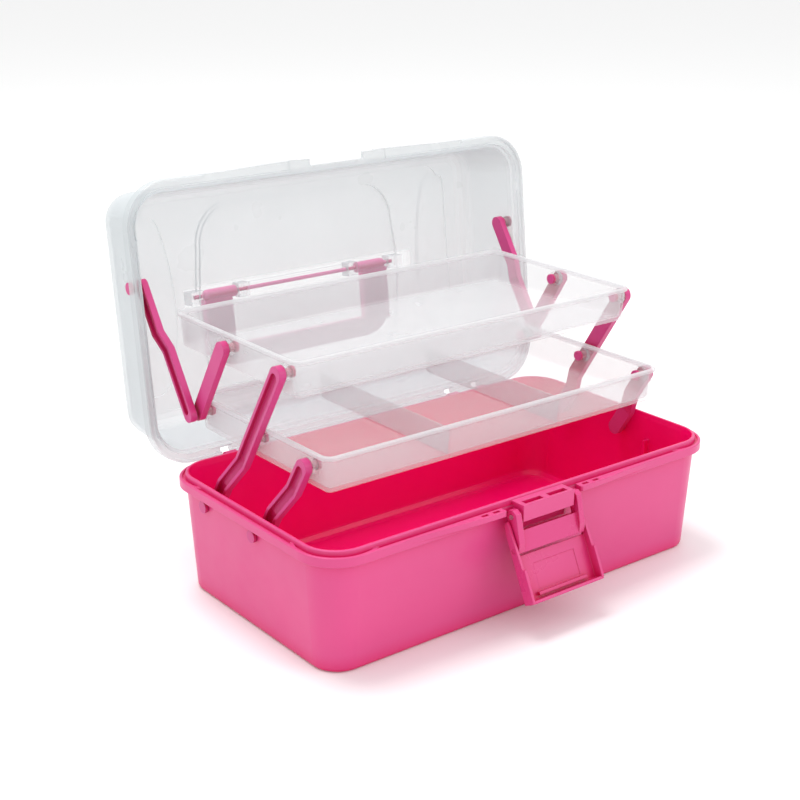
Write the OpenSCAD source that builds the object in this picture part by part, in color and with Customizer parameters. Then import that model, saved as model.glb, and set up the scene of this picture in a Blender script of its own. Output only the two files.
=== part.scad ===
// Two-tray cantilever sewing box, shown open. Millimetres, +Z up.
// Origin: centre of the underside of the base, on the table. Front (latch side) is -Y, length along X.
// Height profiles are lists of [outward offset from the lip outline, height].

/* [Box] */
// Length of the base over its inner lip
box_l = 314; // [290:1:340]
// Width of the base over its inner lip, front to back
box_w = 169.6; // [160:0.2:180]
// Height of the base to the top of its lip
box_h = 80; // [72:1:90]
// Radius of the upright corners at the lip
corner_r = 22; // [16:1:30]
// Wall thickness of the base and lid
wall_t = 2; // [1.6:0.1:2.6]

/* [Lid] */
// Height of the lid above the rim of the base
lid_h = 54.5; // [52:0.5:60]
// How far the lid is swung open, degrees
lid_open = 96.3; // [85:0.1:100]
// How far the lid skirt stands outside the lip outline
skirt_d = 7.2; // [6.6:0.1:8]

/* [Trays] */
// Length of each tray over its rim
tray_l = 274.4; // [262:0.2:276]
// Width of the lower tray, front to back
lower_tray_w = 146; // [138:1:148]
// Width of the upper tray, front to back
upper_tray_w = 140; // [130:1:146]
// Height of each tray
tray_h = 23; // [20:0.5:24]

/* [Linkage] */
// Length of each arm between its pivots
arm_len = 58.6; // [55:0.1:62]
// Slope of the arms above the horizontal when open, degrees
arm_slope = 58; // [52:1:62]
// Distance between the two base pivots on a side
base_pitch = 55.5; // [50:0.5:60]
// Distance between the two upper tray pivots on a side
upper_pitch = 61.4; // [56:0.2:62]
// Thickness of the arms
arm_t = 4.8; // [4:0.1:5]
// Width of the arms
arm_w = 10.4; // [9:0.1:12]

/* [Latch] */
// Half width of the latch lever over its side rails
lever_hw = 30; // [28:0.5:32]
// Tilt of the hanging latch lever off upright, degrees
lever_tilt = 25.4; // [20:0.1:30]

/* [Handle] */
// Half length of the carrying handle
handle_hl = 79; // [74:1:86]
// Reach of the handle from its pivot to the middle of its grip
handle_reach = 46; // [40:1:52]

/* [Hidden] */
pink = [0.91, 0.36, 0.62];
frost = [0.88, 0.91, 0.92, 0.6];
steel = [0.72, 0.72, 0.74];
over = 0.6;
gap = 0.3;
fit = 0.05;
half_l = box_l / 2;
half_w = box_w / 2;

// pivots, as [Y, Z]
hinge = [half_w + 9.2, box_h - 7.3];
base_rear = [46.4, box_h - 14];
base_front = base_rear - [base_pitch, 0];
rise = arm_len * [-cos(arm_slope), sin(arm_slope)];
tray_mid = base_rear + rise;
tray_front = base_front + rise;
upper_front = tray_mid + rise;
tray_rear = tray_mid + [upper_pitch, 0];
upper_rear = upper_front + [upper_pitch, 0];
lid_pivot = [30.7, 116.8] + hinge;
pin_y = -half_w - 8;
pin_z = box_h - 8.1;
link_drop = 19.9;
link_out = 5.5;
lever_y = pin_y - link_out;
lever_z = pin_z - link_drop;

// tray rims sit this far above their pivots, fronts this far ahead
pivot_below_rim = 8.6;
lower_front_y = tray_front[0] - 17;
upper_front_y = upper_front[0] - 12.4;
tray_r = 8;
rim_out = 1.8;
tray_t = 1.6;
tray_draft = 1.5;

// studs
stud_r = 2.6;
collar_r = 4;
head_r = 4;
head_t = 2;
tray_head_r = 3.5;
tray_boss_r = 5.2;
wall_lean = 4.3 / 69.5;
wall_in_x = half_l - wall_t - 0.4;
wall_out_x = half_l + 0.4;
tray_out_x = tray_l / 2 - rim_out - tray_draft * pivot_below_rim / tray_h;
tray_in_x = tray_out_x - tray_t;
arm_x = tray_l / 2 + 1.4;
arm_low_x = arm_x + 7.2;
lid_link_x = arm_x + arm_t + 1.9;
lid_link_t = 4.4;
lid_link_up_x = lid_link_x + 3.3;
lid_wall_in_x = half_l - 1.2;
lid_wall_out_x = lid_wall_in_x + wall_t;

// rounded block whose side follows a profile of [offset, height] points
module profiled(l, w, r, pts) {
  cx = l / 2 - r;
  cy = w / 2 - r;
  side_x = concat([for (p = pts) [l / 2 + p[0], p[1]]],
                  [for (i = [len(pts) - 1:-1:0]) [-l / 2 - pts[i][0], pts[i][1]]]);
  side_y = concat([for (p = pts) [w / 2 + p[0], p[1]]],
                  [for (i = [len(pts) - 1:-1:0]) [-w / 2 - pts[i][0], pts[i][1]]]);
  corner = concat([[0, pts[0][1]]], [for (p = pts) [r + p[0], p[1]]], [[0, pts[len(pts) - 1][1]]]);
  rotate([90, 0, 0])
    linear_extrude(2 * cy, center = true)
      polygon(side_x);
  rotate([90, 0, 90])
    linear_extrude(2 * cx, center = true)
      polygon(side_y);
  for (sx = [-1, 1])
    for (sy = [-1, 1])
      translate([sx * cx, sy * cy, 0])
        rotate_extrude($fn = 96)
          polygon(corner);
}

module xcyl(r, x0, x1, y, z, n = 40) {
  translate([x0, y, z])
    rotate([0, 90, 0])
      cylinder(r = r, h = x1 - x0, $fn = n);
}

module block(x0, x1, y0, y1, z0, z1) {
  translate([x0, y0, z0])
    cube([x1 - x0, y1 - y0, z1 - z0]);
}

module both() {
  children();
  mirror([1, 0, 0])
    children();
}

module left(is_left) {
  mirror([is_left ? 1 : 0, 0, 0])
    children();
}

// ---------- base ----------
base_outer = [[-6.2, 0], [-4.7, 0.8], [-3.9, 2.6], [0.4, box_h - 8], [0.4, box_h - 6.8],
              [2.9, box_h - 6.6], [3, box_h - 8.5], [4.2, box_h - 8.8], [4.75, box_h - 8.4],
              [4.75, box_h - 3.3], [4.3, box_h - 2.8], [3, box_h - 2.7], [2.7, box_h - 3.2],
              [2.5, box_h - 3.9], [1.1, box_h - 3.9], [0.7, box_h - 0.5], [0.2, box_h]];
base_inner = [[-11, 2.2], [-8.2, 3.2], [-6.2, 5.8], [-5.8, 7.5], [-1.75, box_h - 4],
              [-1.2, box_h - 0.3], [-0.9, box_h + over]];

// front flange, widened beside the latch
module flange_wing(d0, d1, z0, z1) {
  span = d1 - d0;
  pts = [[105, d0 - 2], [105, d0], [92, d0 + 0.1 * span], [76, d0 + 0.4 * span], [60, d0 + 0.75 * span],
         [48, d1 - 0.05 * span], [40, d1], [lever_hw + 2, d1], [lever_hw + 1, d1 - 1], [lever_hw + 1, d0 - 2]];
  translate([0, 0, z0])
    linear_extrude(z1 - z0)
      both()
        mirror([0, 1])
          translate([0, half_w])
            polygon(pts);
}

hinge_x = 96;
knuckle_r = 4.2;
hinge_pin_r = 2;
module base_knuckles() {
  for (s = [-1, 1])
    for (e = [-1, 1])
      translate([s * hinge_x + e * 13, 0, 0]) {
        xcyl(knuckle_r, -4, 4, hinge[0], hinge[1]);
        block(-4, 4, half_w + 4.2, hinge[0], hinge[1] - knuckle_r, hinge[1] - 0.8);
        rotate([90, 0, 90])
          linear_extrude(8, center = true)
            polygon([[half_w - 0.4, hinge[1] - 14], [hinge[0] + 1, hinge[1] - knuckle_r + 0.2],
                     [hinge[0] - 2, hinge[1] - 1], [half_w - 0.4, hinge[1] - 1.2]]);
      }
}

catch_hw = 21;
catch_y = -half_w - 12;
module catch_block() {
  difference() {
    union() {
      block(-catch_hw, catch_hw, catch_y, -half_w - 0.5, pin_z - 3.4, box_h - 1);
      block(-catch_hw, catch_hw, -half_w - 4, -half_w + 0.6, pin_z - 12, box_h - 4);
    }
    for (s = [-1, 1])
      block(s * 10 - 7.5, s * 10 + 7.5, catch_y + 2.2, catch_y + 6.2, box_h - 4.6, box_h);
    xcyl(pin_r + 0.02, -half_l / 2, half_l / 2, pin_y, pin_z);
  }
}

module base_tub() {
  color(pink)
    difference() {
      union() {
        difference() {
          union() {
            profiled(box_l, box_w, corner_r, base_outer);
            flange_wing(4.6, 8.6, box_h - 6.2, box_h - 2.9);
          }
          profiled(box_l, box_w, corner_r, base_inner);
          block(-lever_hw - 1, lever_hw + 1, -half_w - 20, -half_w - 2.7, box_h - 12, box_h - 2);
          for (s = [-1, 1])
            for (x = [37, 46])
              block(s * x - 2.5, s * x + 2.5, -half_w - 6.4, -half_w - 4.2, box_h - 4.2, box_h);
        }
        catch_block();
        base_knuckles();
        both()
          guide_rib();
      }
      for (p = [base_rear, base_front])
        xcyl(stud_r + fit, -half_l - 5, half_l + 5, p[0], p[1]);
      for (s = [-1, 1])
        xcyl(hinge_pin_r + fit, s * hinge_x - 30, s * hinge_x + 30, hinge[0], hinge[1]);
    }
}

// upright rib inside each end wall, ahead of the arms
module guide_rib() {
  rotate([90, 0, 0])
    translate([0, 0, -base_front[0] + 24])
      linear_extrude(2.2)
        polygon([[half_l - 8.6, 3], [half_l - 4.2, 3], [half_l - 1.5, box_h - 18],
                 [half_l - 7, box_h - 18]]);
}

// ---------- latch ----------
pin_r = 1.5;
module latch_pin() {
  color(steel)
    xcyl(pin_r, -27.9, 27.9, pin_y, pin_z);
}

ear_in = 23;
ear_out = 27.4;
stub_r = 1.6;
module latch_link() {
  color(pink)
    difference() {
      union() {
        both() {
          rotate([90, 0, 90])
            translate([0, 0, ear_in])
              linear_extrude(ear_out - ear_in)
                polygon([[pin_y - 4, pin_z + 2.6], [pin_y - 1, pin_z + 4.6], [pin_y + 2.4, pin_z + 4],
                         [pin_y + 3.6, pin_z], [lever_y + 3.6, lever_z + 5], [lever_y + 2.2, lever_z - 1.4],
                         [lever_y - 2.2, lever_z - 1.6], [lever_y - 2.6, lever_z + 5],
                         [pin_y - 5.4, pin_z - 2]]);
          xcyl(stub_r, ear_in, lever_hw - 0.4, lever_y, lever_z);
        }
        rotate([90, 0, 90])
          linear_extrude(2 * ear_out - 2, center = true)
            polygon([[lever_y - 2.2, lever_z - 1.6], [lever_y + 0.4, lever_z - 1.8],
                     [pin_y - 1.8, pin_z - 9.2], [pin_y - 4.4, pin_z - 8.6]]);
      }
      xcyl(pin_r + fit, -ear_out - over, ear_out + over, pin_y, pin_z);
    }
}

// lever, drawn hanging upright from its pivot: local Y forward is negative, Z down is negative
lever_up = 18;
lever_down = 33.6;
rail_t = 1.8;
module lever_shape() {
  plate_y = 1;
  both()
    difference() {
      rotate([90, 0, 90])
        translate([0, 0, lever_hw - rail_t])
          linear_extrude(rail_t)
            polygon([[plate_y + 1.8, -lever_down], [plate_y + 1.8, 3], [3, 8], [2, lever_up - 2],
                     [0.6, lever_up], [-1.2, lever_up], [-2, lever_up - 2], [-2.8, 2],
                     [-3.6, -11.6], [-4.2, -12.4], [-5.5, -12.4], [-5.5, -lever_down + 1.5],
                     [-4, -lever_down]]);
      xcyl(stub_r + fit, 0, lever_hw + over, 0, 0);
    }
  difference() {
    block(-lever_hw + 0.4, lever_hw - 0.4, plate_y, plate_y + 1.8, -lever_down, -4);
    block(-17, 17, plate_y - over, plate_y + 0.35, -27, -10.5);
  }
  block(-lever_hw + 0.4, lever_hw - 0.4, -5, plate_y + 1.8, -lever_down, -lever_down + 1.8);
  block(-20, 20, plate_y - 2.6, plate_y + over, -lever_down + 3.6, -lever_down + 5.6);
}

module latch_lever() {
  color(pink)
    translate([0, lever_y, lever_z])
      rotate([-lever_tilt, 0, 0])
        lever_shape();
}

// ---------- lid ----------
lid_top = box_h + lid_h;
lid_outer = [[4.9, box_h - 4.6], [skirt_d - 0.5, box_h - 4.8], [skirt_d, box_h - 4.2],
             [skirt_d, box_h + 2.4], [skirt_d - 0.6, box_h + 3], [2.2, box_h + 3.2], [1.5, box_h + 4.4],
             [-2.8, lid_top - 11], [-3.6, lid_top - 7.4], [-5.4, lid_top - 3.8], [-8.6, lid_top - 1.2],
             [-13, lid_top]];
lid_inner = [[-0.9, box_h + 0.4 - over], [-0.9, box_h + 4], [-4.9, lid_top - 12],
             [-5.8, lid_top - 8.6], [-7.4, lid_top - 5.4], [-10, lid_top - 3], [-13.6, lid_top - 2]];
lid_bottom_cut = [[5.1, box_h - 6], [5.1, box_h - 2.4], [2.1, box_h - 2.4], [2, box_h - 3.4],
                  [1.3, box_h - 3.4], [1.2, box_h + 0.4], [-3, box_h + 0.4]];

panel_l = 258;
panel_w = 142;
panel_r = 14;
plateau_h = 3;
plateau_c = [56, 36];
bracket_y = -2;
handle_z = lid_top + plateau_h + 4.6;
rod_r = 1.4;
bracket_out = handle_hl + 7;
module lid_plateau(grow, z0, z1) {
  arc = [for (a = [0:6:90]) [plateau_c[0] + (28 - grow) * cos(a), plateau_c[1] + (30 - grow) * sin(a)]];
  quarter = concat([[-over, -over], [88 - grow, -over]], arc, [[-over, plateau_c[1] + 30 - grow]]);
  translate([0, 0, z0])
    linear_extrude(z1 - z0)
      for (sx = [0, 1])
        for (sy = [0, 1])
          mirror([sx, 0])
            mirror([0, sy])
              polygon(quarter);
}

module lid_pad(s, z0, z1) {
  translate([s * 118, 0, z0])
    mirror([s < 0 ? 1 : 0, 0, 0])
      linear_extrude(z1 - z0)
        polygon([[1, -62], [12, -62], [14, -61], [15, -58.5], [17, 53], [15.6, 57], [12, 59], [7, 59.4],
                 [2, 57.6], [-2.6, 53], [-6, 46], [-9.6, 34], [-12, 20], [-13, 4], [-12.6, -12],
                 [-10.5, -30], [-7.6, -46], [-4.4, -57], [-2, -60.6]]);
}

module lid_skin() {
  difference() {
    union() {
      profiled(box_l, box_w, corner_r, lid_outer);
      lid_plateau(0, lid_top - 1, lid_top + plateau_h);
      flange_wing(skirt_d - 0.2, skirt_d + 1.2, box_h - 2.2, box_h + 2.8);
      block(-lever_hw - 2, lever_hw + 2, -half_w - skirt_d - 0.8, -half_w, box_h - 0.6, box_h + 2.8);
      profiled(panel_l, panel_w, panel_r, [[0, lid_top - 0.5], [0, lid_top + 0.2], [-0.4, lid_top + 0.6]]);
      for (s = [-1, 1])
        lid_pad(s, lid_top - 0.2, lid_top + 1.4);
      for (s = [-1, 1])
        block(s * 47.5 - 4.2, s * 47.5 + 4.2, bracket_y - 5, bracket_y + 5, lid_top + 1, handle_z + 4.4);
      for (s = [-1, 1])
        block(s * bracket_out - 5.6, s * bracket_out + 5.6, bracket_y - 4.6, bracket_y + 4.6,
              lid_top - 1, handle_z + 3.8);
      block(-43, 43, bracket_y - 5, bracket_y - 3.6, lid_top + plateau_h - 0.4, lid_top + plateau_h + 1.4);
    }
    profiled(box_l, box_w, corner_r, lid_inner);
    lid_plateau(2, lid_top - 3, lid_top + plateau_h - 2);
    profiled(panel_l - 1, panel_w - 1, panel_r, [[0, lid_top - 3], [0, lid_top - 1.3]]);
    for (s = [-1, 1])
      lid_pad(s, lid_top - 2, lid_top - 0.6);
  }
}

module lid_closed() {
  difference() {
    union() {
      difference() {
        lid_skin();
        difference() {
          block(-half_l - 20, half_l + 20, -half_w - 20, half_w + 20, box_h - 8, box_h + 0.4);
          difference() {
            profiled(box_l, box_w, corner_r, concat([[skirt_d + 9, box_h - 9], [skirt_d + 9, box_h + 1]]));
            profiled(box_l, box_w, corner_r, lid_bottom_cut);
          }
        }
        block(-40, 40, -half_w - 20, -half_w, box_h - 8, box_h - 0.6);
        block(-catch_hw - 1.4, catch_hw + 1.4, -half_w - 20, -half_w - 3.4, box_h - 8, box_h + 4);
        block(-107, 107, -half_w - 20, -half_w - 2.6, box_h - 8, box_h - 2.4);
        for (s = [-1, 1])
          for (e = [-1, 1])
            block(s * hinge_x + e * 13 - 4.6, s * hinge_x + e * 13 + 4.6,
                  half_w + 2.8, half_w + 20, box_h - 8, box_h + 3.6);
      }
      lid_knuckles();
    }
    xcyl(rod_r + fit, -bracket_out, bracket_out, bracket_y, handle_z);
    xcyl(stud_r + fit, -half_l - 20, half_l + 20, lid_stud_closed[0], lid_stud_closed[1]);
  }
}

lid_stud_rel = lid_pivot - hinge;
lid_stud_closed = hinge + [lid_stud_rel[0] * cos(lid_open) - lid_stud_rel[1] * sin(lid_open),
                           lid_stud_rel[0] * sin(lid_open) + lid_stud_rel[1] * cos(lid_open)];

module lid_knuckles() {
  for (s = [-1, 1])
    translate([s * hinge_x, 0, 0]) {
      xcyl(knuckle_r, -8.6, 8.6, hinge[0], hinge[1]);
      xcyl(hinge_pin_r, -16.6, 16.6, hinge[0], hinge[1]);
      rotate([90, 0, 90])
        linear_extrude(17.2, center = true)
          polygon([[hinge[0] + knuckle_r - 0.2, hinge[1] + 1], [hinge[0] - 2.4, hinge[1] + 2.6],
                   [half_w + 5.3, box_h - 2], [half_w + 5.3, box_h + 3], [half_w + 6.4, box_h + 3],
                   [hinge[0] + 3, hinge[1] + 5]]);
    }
}

module swung() {
  translate([0, hinge[0], hinge[1]])
    rotate([-lid_open, 0, 0])
      translate([0, -hinge[0], -hinge[1]])
        children();
}

module lid_shell() {
  color(frost)
    swung()
      lid_closed();
}

// handle, folded back towards the hinge
module handle() {
  lug_x = 53;
  barrel_r = 4;
  color(pink)
    swung()
      translate([0, bracket_y, handle_z]) {
        xcyl(rod_r, gap - bracket_out, bracket_out - gap, 0, 0);
        both()
          translate([lug_x, 0, 0]) {
            xcyl(barrel_r, 0, handle_hl - barrel_r - lug_x, 0, 0);
            translate([handle_hl - barrel_r - lug_x, 0, 0])
              sphere(r = barrel_r, $fn = 48);
            block(4, handle_hl - lug_x, barrel_r * 0.7, handle_reach - 4, -3.2, 3);
          }
        difference() {
          union() {
            block(-lug_x - 6, lug_x + 6, handle_reach - 8, handle_reach + 6, -3.2, 3);
            both()
              translate([lug_x + 4, handle_reach - 16, -3.2])
                cylinder(r = handle_hl - lug_x - 4, h = 6.2, $fn = 96);
          }
          both()
            block(lug_x - 30, lug_x + 4, -over, handle_reach - 8, -6, 6);
        }
      }
}

// ---------- trays ----------
module tray(w, walls) {
  outer = [[-rim_out - tray_draft - 1.4, 0], [-rim_out - tray_draft, 1.2],
           [-rim_out - 0.1, tray_h - 2.6], [-0.4, tray_h - 2.2], [0, tray_h - 1.6],
           [0, tray_h - 0.5], [-0.4, tray_h]];
  inner = [[-rim_out - tray_draft - tray_t - 2, tray_t], [-rim_out - tray_draft - tray_t, 3.2],
           [-rim_out - tray_t - 0.1, tray_h - 1.2], [-rim_out - 0.6, tray_h + over]];
  difference() {
    profiled(tray_l, w, tray_r, outer);
    profiled(tray_l, w, tray_r, inner);
  }
  for (x = walls)
    rotate([90, 0, 0])
      linear_extrude(w - 5.6, center = true)
        polygon([[x - 0.9, 1], [x + 0.9, 1], [x + 0.6, tray_h - 3.4], [x - 0.6, tray_h - 3.4]]);
}

module tray_at(w, front_y, pivot_z, walls, holes) {
  difference() {
    union() {
      translate([0, front_y + w / 2, pivot_z + pivot_below_rim - tray_h])
        tray(w, walls);
      for (y = holes)
        both()
          xcyl(tray_boss_r, tray_in_x + 0.9, arm_x - 0.4, y, pivot_z);
    }
    for (y = holes)
      both()
        xcyl(stud_r + fit, tray_in_x - 2, arm_x, y, pivot_z);
  }
}

module lower_tray() {
  color(frost)
    tray_at(lower_tray_w, lower_front_y, tray_mid[1], [-43, 48], [tray_front[0], tray_mid[0], tray_rear[0]]);
}

module upper_tray() {
  color(frost)
    tray_at(upper_tray_w, upper_front_y, upper_front[1], [], [upper_front[0], upper_rear[0]]);
}

// ---------- arms and links ----------
// bar along local +Y, its inner face following [along, x] points; channel cut in its outer face
module bar(length, w, t, face, channel) {
  n = len(face);
  strip = concat(face, [for (i = [n - 1:-1:0]) [face[i][0] + t, face[i][1]]]);
  groove = concat([for (i = [0:n - 1]) [face[i][0] + 2, face[i][1]]],
                  [for (i = [n - 1:-1:0]) [face[i][0] + t + 9, face[i][1]]]);
  difference() {
    intersection() {
      translate([0, 0, -w])
        linear_extrude(2 * w)
          polygon(strip);
      capsule(0, length, w / 2);
    }
    if (channel)
      intersection() {
        translate([0, 0, -w])
          linear_extrude(2 * w)
            polygon(groove);
        capsule(6, length - 3, w / 2 - 2);
      }
  }
}

module capsule(y0, y1, r) {
  xcyl(r, 0, half_l + 40, y0, 0, 64);
  xcyl(r, 0, half_l + 40, y1, 0, 64);
  block(0, half_l + 40, y0, y1, -r, r);
}

// stud going out through an end wall: collar up to the wall, head beyond it
module wall_stud(x_arm, x_collar, x_head) {
  xcyl(collar_r, x_arm, x_collar, 0, 0);
  xcyl(stud_r, x_arm, x_head + head_t, 0, 0);
  xcyl(head_r, x_head, x_head + head_t, 0, 0);
}

module base_stud() {
  wall_stud(arm_low_x + arm_t - 0.4, wall_in_x - wall_lean * 6 - gap - 0.2, wall_out_x - wall_lean * 2 + gap);
}

// stud going in through a tray's boss and wall, head inside the tray
module tray_stud(y) {
  x_head = tray_in_x - gap - 0.1;
  xcyl(stud_r, x_head - head_t, arm_x + 0.4, y, 0);
  xcyl(tray_head_r, x_head - head_t, x_head, y, 0);
}

module placed(p, ang) {
  translate([0, p[0], p[1]])
    rotate([ang, 0, 0])
      children();
}

joggle = [[arm_low_x, -20], [arm_low_x, 18.5], [arm_x, 37.5], [arm_x, arm_len * 3]];

module long_arm() {
  placed(base_rear, 180 - arm_slope) {
    bar(2 * arm_len, arm_w, arm_t, joggle, true);
    base_stud();
    tray_stud(arm_len);
    tray_stud(2 * arm_len);
  }
}

module front_arm() {
  placed(base_front, 180 - arm_slope) {
    bar(arm_len, arm_w, arm_t, joggle, true);
    base_stud();
    tray_stud(arm_len);
  }
}

module rear_link() {
  placed(tray_rear, 180 - arm_slope) {
    bar(arm_len, arm_w - 0.6, arm_t - 0.4, [[arm_x, -20], [arm_x, arm_len * 2]], false);
    tray_stud(0);
    tray_stud(arm_len);
  }
}

lid_span = tray_rear - lid_pivot;
lid_link_len = norm(lid_span);
lid_link_ang = atan2(lid_span[1], lid_span[0]);
module lid_link() {
  placed(lid_pivot, lid_link_ang) {
    bar(lid_link_len, arm_w - 0.8, lid_link_t,
        [[lid_link_up_x, -20], [lid_link_up_x, 32], [lid_link_x, 44], [lid_link_x, lid_link_len * 2]], true);
    wall_stud(lid_link_up_x + lid_link_t - 0.4, lid_wall_in_x - 1.4, lid_wall_out_x + 0.9);
  }
}

module left_long_arm() {
  color(pink)
    left(true)
      long_arm();
}

module right_long_arm() {
  color(pink)
    left(false)
      long_arm();
}

module left_front_arm() {
  color(pink)
    left(true)
      front_arm();
}

module right_front_arm() {
  color(pink)
    left(false)
      front_arm();
}

module left_rear_link() {
  color(pink)
    left(true)
      rear_link();
}

module right_rear_link() {
  color(pink)
    left(false)
      rear_link();
}

module left_lid_link() {
  color(pink)
    left(true)
      lid_link();
}

module right_lid_link() {
  color(pink)
    left(false)
      lid_link();
}

base_tub();
latch_pin();
lid_shell();
handle();
left_long_arm();
right_long_arm();
left_front_arm();
right_front_arm();
lower_tray();
upper_tray();
left_rear_link();
right_rear_link();
left_lid_link();
right_lid_link();
latch_link();
latch_lever();
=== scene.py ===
import math

import bpy
from mathutils import Euler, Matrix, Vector


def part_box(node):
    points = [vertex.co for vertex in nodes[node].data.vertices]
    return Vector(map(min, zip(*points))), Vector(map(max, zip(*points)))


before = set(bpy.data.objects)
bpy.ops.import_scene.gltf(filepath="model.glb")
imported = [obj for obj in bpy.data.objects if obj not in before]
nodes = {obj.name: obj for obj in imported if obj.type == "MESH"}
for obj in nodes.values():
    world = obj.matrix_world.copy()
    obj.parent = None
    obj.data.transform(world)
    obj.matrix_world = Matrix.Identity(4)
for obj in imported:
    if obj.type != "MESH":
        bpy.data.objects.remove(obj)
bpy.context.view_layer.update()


# ---------- node helpers ----------
class Graph:
    """A material's node tree, built by short calls."""

    def __init__(self, name):
        self.mat = bpy.data.materials.new(name)
        self.mat.use_nodes = True
        self.tree = self.mat.node_tree
        self.bsdf = self.tree.nodes["Principled BSDF"]

    def add(self, kind, **values):
        n = self.tree.nodes.new(kind)
        for key, value in values.items():
            setattr(n, key, value)
        return n

    def link(self, a, b):
        self.tree.links.new(a, b)

    def noise(self, coord, scale, detail=2.0, rough=0.5):
        n = self.add("ShaderNodeTexNoise")
        n.inputs["Scale"].default_value = scale
        n.inputs["Detail"].default_value = detail
        n.inputs["Roughness"].default_value = rough
        self.link(coord, n.inputs["Vector"])
        return n.outputs["Fac"]

    def remap(self, value, lo, hi, out_lo, out_hi):
        n = self.add("ShaderNodeMapRange")
        limits = {"From Min": lo, "From Max": hi, "To Min": out_lo, "To Max": out_hi}
        for key, v in limits.items():
            n.inputs[key].default_value = v
        self.link(value, n.inputs["Value"])
        return n.outputs["Result"]

    def mix(self, fac, a, b):
        n = self.add("ShaderNodeMix", data_type="RGBA")
        self.link(fac, n.inputs["Factor"])
        for socket, v in ((n.inputs[6], a), (n.inputs[7], b)):
            if isinstance(v, tuple):
                socket.default_value = v
            else:
                self.link(v, socket)
        return n.outputs[2]

    def bump(self, height, strength, distance, normal=None):
        n = self.add("ShaderNodeBump")
        n.inputs["Strength"].default_value = strength
        n.inputs["Distance"].default_value = distance
        self.link(height, n.inputs["Height"])
        if normal is not None:
            self.link(normal, n.inputs["Normal"])
        return n.outputs["Normal"]

    def coords(self):
        return self.add("ShaderNodeTexCoord").outputs["Object"]

    def axes(self, pos):
        n = self.add("ShaderNodeSeparateXYZ")
        self.link(pos, n.inputs[0])
        return n.outputs

    def math(self, op, a, b=0.0):
        n = self.add("ShaderNodeMath", operation=op)
        for socket, v in zip(n.inputs, (a, b)):
            if isinstance(v, (int, float)):
                socket.default_value = v
            else:
                self.link(v, socket)
        return n.outputs[0]

    def hypot(self, a, b):
        return self.math("SQRT", self.math("ADD", self.math("MULTIPLY", a, a), self.math("MULTIPLY", b, b)))


def soft_edges(g, radius):
    """Rounded edge normal, and a mask that is high along moulded edges."""
    round_n = g.add("ShaderNodeBevel", samples=6)
    round_n.inputs["Radius"].default_value = radius
    flat = g.add("ShaderNodeNewGeometry")
    dot = g.add("ShaderNodeVectorMath", operation="DOT_PRODUCT")
    g.link(round_n.outputs["Normal"], dot.inputs[0])
    g.link(flat.outputs["Normal"], dot.inputs[1])
    return round_n.outputs["Normal"], g.remap(dot.outputs["Value"], 1.0, 0.75, 0.0, 1.0)


def painted_crevice_shade(g, reach):
    # Painted shade: a mask that is high where the AO node finds the surface hemmed in, used to darken the
    # colour in crevices and recesses.
    ao = g.add("ShaderNodeAmbientOcclusion", samples=6)
    ao.inputs["Distance"].default_value = reach
    return g.remap(ao.outputs["AO"], 0.35, 0.95, 1.0, 0.0)


# The tub's plan is a rounded rectangle. CORNER is its corner centre. IN_WALL is the distance from
# there to a line inside the wall's thickness, at the two heights. IN_FLOOR is a height inside the floor.
CORNER = (0.135, 0.0628)
WALL_HEIGHTS = (0.005, 0.0745)
IN_WALL = (0.0171, 0.0213)
IN_FLOOR = 0.0012


def inside_shade_mask(g, pos):
    """1 on the tub's inner faces: nearer its middle than a leaning line inside the wall. Marks where the
    inside gets a painted shaded red.
    """
    at = g.axes(pos)
    past = [g.math("MAXIMUM", g.math("SUBTRACT", g.math("ABSOLUTE", at[k]), CORNER[k]), 0.0) for k in (0, 1)]
    wall = g.remap(at[2], *WALL_HEIGHTS, *IN_WALL)
    above_floor = g.math("GREATER_THAN", at[2], IN_FLOOR)
    return g.math("MULTIPLY", g.math("LESS_THAN", g.hypot(*past), wall), above_floor)


def pink_plastic(name, color, shade_in_hollows, rough, tub=False, reach=0.012):
    g = Graph(name)
    pos = g.coords()
    round_n, edge = soft_edges(g, 0.0007)
    cloud = g.noise(pos, 9.0, 3.0)
    dim = tuple(c * 0.93 for c in color[:3]) + (1.0,)
    shade = g.mix(g.remap(cloud, 0.3, 0.7, 0.0, 1.0), color, dim)
    # Painted shade: the colour darkens towards a deep red in crevices, recesses and gaps between parts.
    shade = g.mix(painted_crevice_shade(g, reach), shade, shade_in_hollows)
    if tub:
        # Painted light and shade: the tub's inner faces get a deeper, more saturated red, for the shade
        # inside the tub and the light tinted by passing through its pink walls.
        shade = g.mix(inside_shade_mask(g, pos), shade, (0.88, 0.0, 0.15, 1))
    # Painted highlight: the colour turns paler along the moulded edges.
    edge_highlight = tuple(min(1.0, c * 1.08 + 0.05) for c in color[:3]) + (1.0,)
    shade = g.mix(g.math("MULTIPLY", edge, 0.35), shade, edge_highlight)
    rub = g.remap(g.noise(pos, 420.0, 6.0, 0.7), 0.56, 0.68, 0.0, 1.0)
    worn = g.math("MULTIPLY", g.math("MULTIPLY", rub, edge), 0.3)
    shade = g.mix(worn, shade, (0.92, 0.42, 0.60, 1))
    g.link(shade, g.bsdf.inputs["Base Color"])
    flow = g.remap(g.noise(pos, 55.0, 2.0), 0.3, 0.7, rough - 0.05, rough + 0.06)
    g.link(g.math("ADD", flow, g.math("MULTIPLY", rub, 0.05)), g.bsdf.inputs["Roughness"])
    n1 = g.bump(g.noise(pos, 30.0, 2.0), 0.25, 0.0006, round_n)
    g.link(g.bump(g.noise(pos, 2600.0, 1.0), 0.12, 0.00006, n1), g.bsdf.inputs["Normal"])
    g.bsdf.inputs["IOR"].default_value = 1.46
    return g.mat


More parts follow.
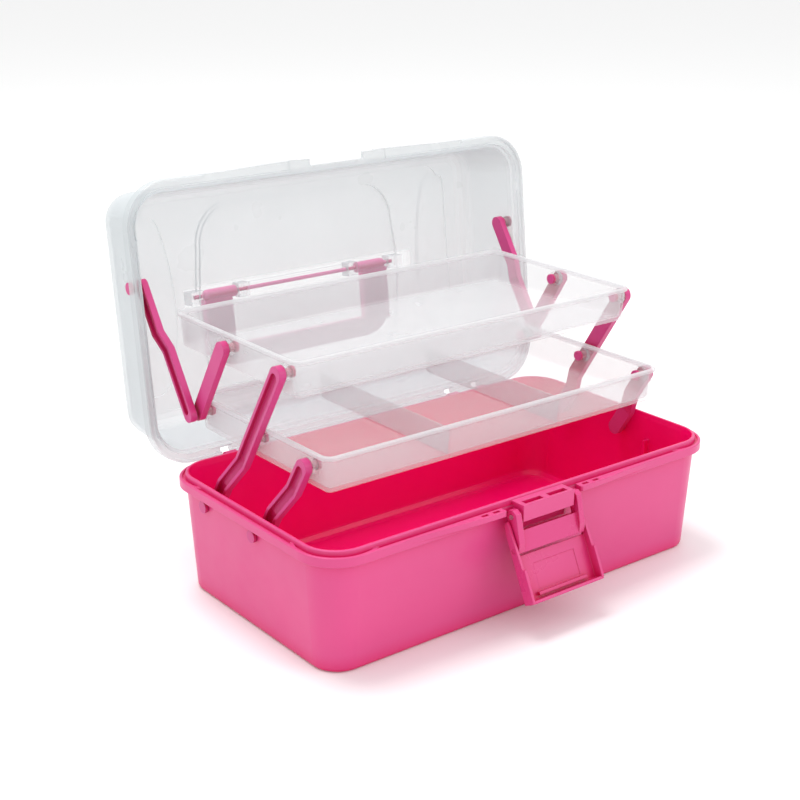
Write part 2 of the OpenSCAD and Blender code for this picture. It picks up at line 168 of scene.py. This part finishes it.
def clear_band(g, pos, y, z, half_x):
    """Less frost in a band along the handle's rod. Factor on the alpha."""
    at = g.axes(pos)
    far = g.hypot(g.math("SUBTRACT", at[1], y), g.math("SUBTRACT", at[2], z))
    ends = g.remap(g.math("ABSOLUTE", at[0]), half_x, half_x + 0.004, 0.0, 1.0)
    outside = g.math("MAXIMUM", g.remap(far, 0.006, 0.009, 0.0, 1.0), ends)
    return g.remap(outside, 0.0, 1.0, 0.74, 1.0)


def frosted_plastic(name, color, grazing_sheen, alpha_face, alpha_edge, clear=None, rim=None):
    """Alpha rises towards grazing angles, where the colour also shifts to a paler painted sheen. rim is the
    height of a denser edge, clear a band's place.
    """
    g = Graph(name)
    pos = g.coords()
    cloud = g.noise(pos, 12.0, 3.0)
    tint = tuple(c * 0.97 for c in color[:3]) + (1.0,)
    shade = g.mix(g.remap(cloud, 0.3, 0.7, 0.0, 1.0), color, tint)
    facing = g.add("ShaderNodeLayerWeight")
    facing.inputs["Blend"].default_value = 0.5
    grazing = g.remap(facing.outputs["Facing"], 0.2, 0.88, 0.0, 1.0)
    # Painted sheen: the colour shifts to a paler tint where the surface turns away from view.
    g.link(g.mix(grazing, shade, grazing_sheen), g.bsdf.inputs["Base Color"])
    fog = g.remap(cloud, 0.3, 0.7, -0.015, 0.02)
    seen = g.math("ADD", g.remap(grazing, 0.0, 1.0, alpha_face, alpha_edge), fog)
    if rim:
        drop = g.math("ABSOLUTE", g.math("SUBTRACT", g.axes(pos)[2], rim))
        seen = g.math("MAXIMUM", seen, g.remap(drop, 0.0020, 0.0030, 0.62, 0.0))
    if clear:
        seen = g.math("MULTIPLY", seen, clear_band(g, pos, *clear))
    shadow = g.add("ShaderNodeLightPath").outputs["Is Shadow Ray"]
    cast = g.remap(shadow, 0.0, 1.0, 1.0, 0.15)
    g.link(g.math("MULTIPLY", seen, cast), g.bsdf.inputs["Alpha"])
    g.link(g.remap(g.noise(pos, 40.0, 2.0), 0.3, 0.7, 0.27, 0.35), g.bsdf.inputs["Roughness"])
    g.link(g.bump(g.noise(pos, 14.0, 1.0), 0.2, 0.0003), g.bsdf.inputs["Normal"])
    g.bsdf.inputs["IOR"].default_value = 1.46
    return g.mat


def wire_steel(name):
    g = Graph(name)
    pos = g.coords()
    streak = g.remap(g.noise(pos, 300.0), 0.3, 0.7, 0.0, 1.0)
    g.link(g.mix(streak, (0.50, 0.46, 0.44, 1), (0.62, 0.60, 0.58, 1)), g.bsdf.inputs["Base Color"])
    g.bsdf.inputs["Metallic"].default_value = 1.0
    g.link(g.remap(g.noise(pos, 900.0), 0.3, 0.7, 0.28, 0.5), g.bsdf.inputs["Roughness"])
    g.link(g.bump(g.noise(pos, 2000.0), 0.3, 0.00005), g.bsdf.inputs["Normal"])
    return g.mat


ROD_BAND = (0.1675, 0.1618, 0.096)
TRAY_GRAZING_SHEEN = (0.70, 0.71, 0.72, 1)
TUB = pink_plastic("pink_tub", (0.70, 0.064, 0.235, 1), (0.70, 0.004, 0.13, 1), 0.34, tub=True)
# Painted shade: the latch and arm pinks are darker copies of the tub's pink, for the shade these parts sit
# in.
LATCH_SHADED = pink_plastic("pink_latch", (0.68, 0.050, 0.215, 1), (0.62, 0.002, 0.09, 1), 0.3)
ARM_SHADED = pink_plastic("pink_arm", (0.60, 0.048, 0.225, 1), (0.50, 0.002, 0.075, 1), 0.38)
# Painted light: the handle's pink is lighter than the other pinks, making up for the shade it sits in behind
# the lid.
GRIP_BRIGHTENED = pink_plastic("pink_handle", (0.90, 0.16, 0.43, 1), (0.74, 0.03, 0.22, 1), 0.38, reach=0.001)
LID = frosted_plastic("frosted_lid", (0.60, 0.635, 0.65, 1), (0.60, 0.645, 0.665, 1), 0.38, 0.66,
                      clear=ROD_BAND)
UPPER = frosted_plastic("frosted_upper_tray", (0.70, 0.69, 0.71, 1), TRAY_GRAZING_SHEEN, 0.29, 0.36,
                        rim=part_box("upper_tray")[1][2])
LOWER = frosted_plastic("frosted_lower_tray", (0.68, 0.66, 0.69, 1), TRAY_GRAZING_SHEEN, 0.26, 0.31,
                        rim=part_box("lower_tray")[1][2])
STEEL = wire_steel("pin_steel")
finishes = {"base_tub": TUB, "latch_link": LATCH_SHADED, "latch_lever": LATCH_SHADED, "handle": GRIP_BRIGHTENED,
            "lid_shell": LID, "lower_tray": LOWER, "upper_tray": UPPER, "latch_pin": STEEL}

for name, obj in nodes.items():
    mat = finishes.get(name, ARM_SHADED)
    obj.data.materials.clear()
    obj.data.materials.append(mat)

# ---------- camera ----------
cam_data = bpy.data.cameras.new("camera")
cam_data.sensor_width = 36.0
cam_data.lens = 66.61
cam = bpy.data.objects.new("camera", cam_data)
bpy.context.collection.objects.link(cam)
cam.location = (-0.58108, -0.69651, 0.43368)
cam.rotation_euler = Euler((math.radians(90 - 19.363), 0, math.radians(-37.84)), "XYZ")
bpy.context.scene.camera = cam
bpy.context.scene.view_settings.view_transform = "Standard"

# ---------- floor and light ----------
floor_mesh = bpy.data.meshes.new("floor")
size = 40.0
corners = [(-size, -size, 0), (size, -size, 0), (size, size, 0), (-size, size, 0)]
floor_mesh.from_pydata(corners, [], [(0, 1, 2, 3)])
floor = bpy.data.objects.new("floor", floor_mesh)
bpy.context.collection.objects.link(floor)
g = Graph("floor_white")
g.bsdf.inputs["Base Color"].default_value = (0.93, 0.93, 0.93, 1)
g.bsdf.inputs["Roughness"].default_value = 0.6
floor_mesh.materials.append(g.mat)

world = bpy.data.worlds.new("studio")
bpy.context.scene.world = world
world.use_nodes = True
sky = world.node_tree.nodes["Background"].inputs
sky["Color"].default_value = (1, 1, 1, 1)
sky["Strength"].default_value = 0.97


def area(name, place, target, power, width):
    data = bpy.data.lights.new(name, "AREA")
    data.energy = power
    data.shape = "DISK"
    data.size = width
    lamp = bpy.data.objects.new(name, data)
    lamp.location = place
    lamp.rotation_euler = (Vector(target) - Vector(place)).to_track_quat("-Z", "Y").to_euler()
    bpy.context.collection.objects.link(lamp)


area("key", (-0.25, 0.55, 2.1), (0, 0, 0.1), 24, 1.0)
area("fill", (1.2, -1.8, 1.2), (0, 0, 0.1), 9, 1.4)
